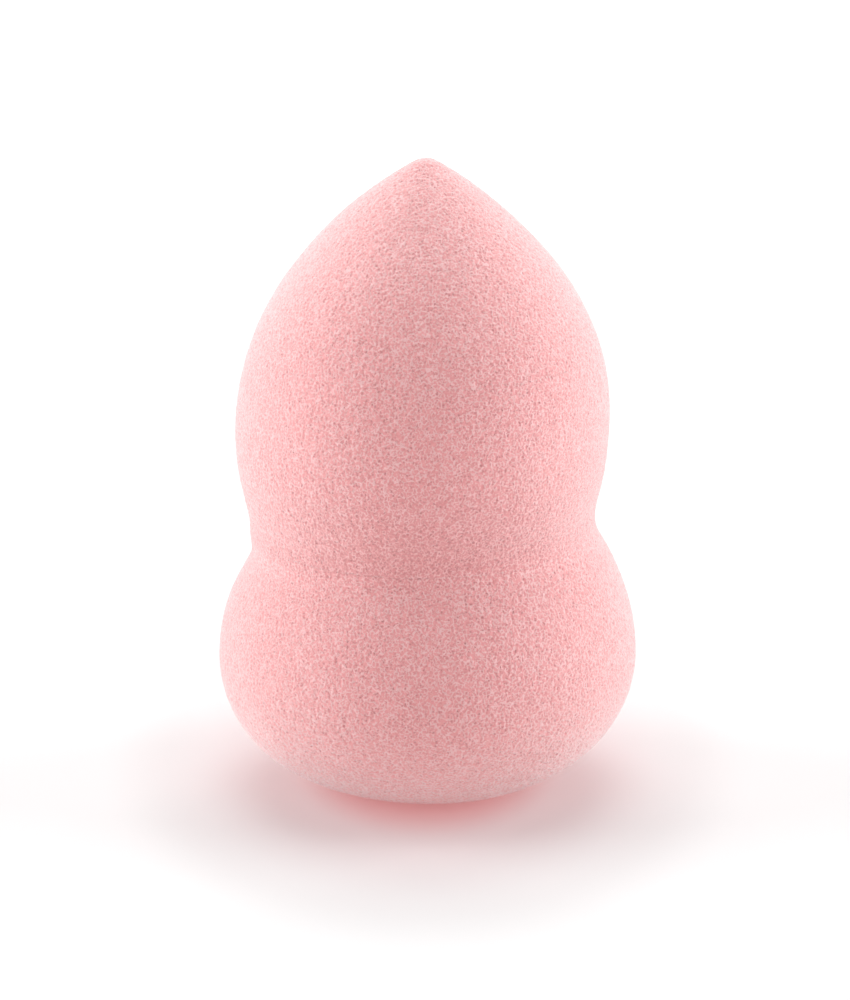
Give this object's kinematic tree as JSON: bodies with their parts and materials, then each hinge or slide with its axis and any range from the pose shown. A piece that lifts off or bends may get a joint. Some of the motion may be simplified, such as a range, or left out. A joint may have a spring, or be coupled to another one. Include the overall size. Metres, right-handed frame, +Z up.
{
  "type": "makeup sponge",
  "caption": "Gourd-shaped open-cell foam makeup sponge with a rounded point, an upper lobe, a drawn-in waist and a wider round base; it can be pressed and bent.",
  "frame": {"origin": "centre of the flat foot, on the surface that the sponge stands on", "axes": "+Z up along the axis from the foot to the point; +X and +Y are any two directions across the round base"},
  "size_m": [0.04, 0.04, 0.0616],
  "materials": {
    "foam": "matte, finely pitted open-cell foam, pale pink"
  },
  "bodies": {
    "base": {"round_base": "foam", "lower_waist": "foam"},
    "waist": {"upper_waist": "foam"},
    "lobe": {"upper_lobe": "foam", "taper": "foam"},
    "point": {"tip": "foam"}
  },
  "joints": [
    {"name": "press", "type": "slide", "parent": "base", "child": "waist", "axis": [0, 0, -1], "range_m": [0, 0.008], "stiffness_N_per_m": 300, "deforming": ["lower_waist"]},
    {"name": "lean", "type": "hinge", "parent": "waist", "child": "lobe", "pos_m": [0, 0, 0.0254], "axis": [0, 1, 0], "range_deg": [-20, 20], "stiffness_Nm_per_rad": 0.09, "deforming": ["upper_waist"]},
    {"name": "tip_bend", "type": "hinge", "parent": "lobe", "child": "point", "pos_m": [0, 0, 0.0476], "axis": [0, 1, 0], "range_deg": [-20, 20], "stiffness_Nm_per_rad": 0.002, "deforming": ["taper"]}
  ]
}
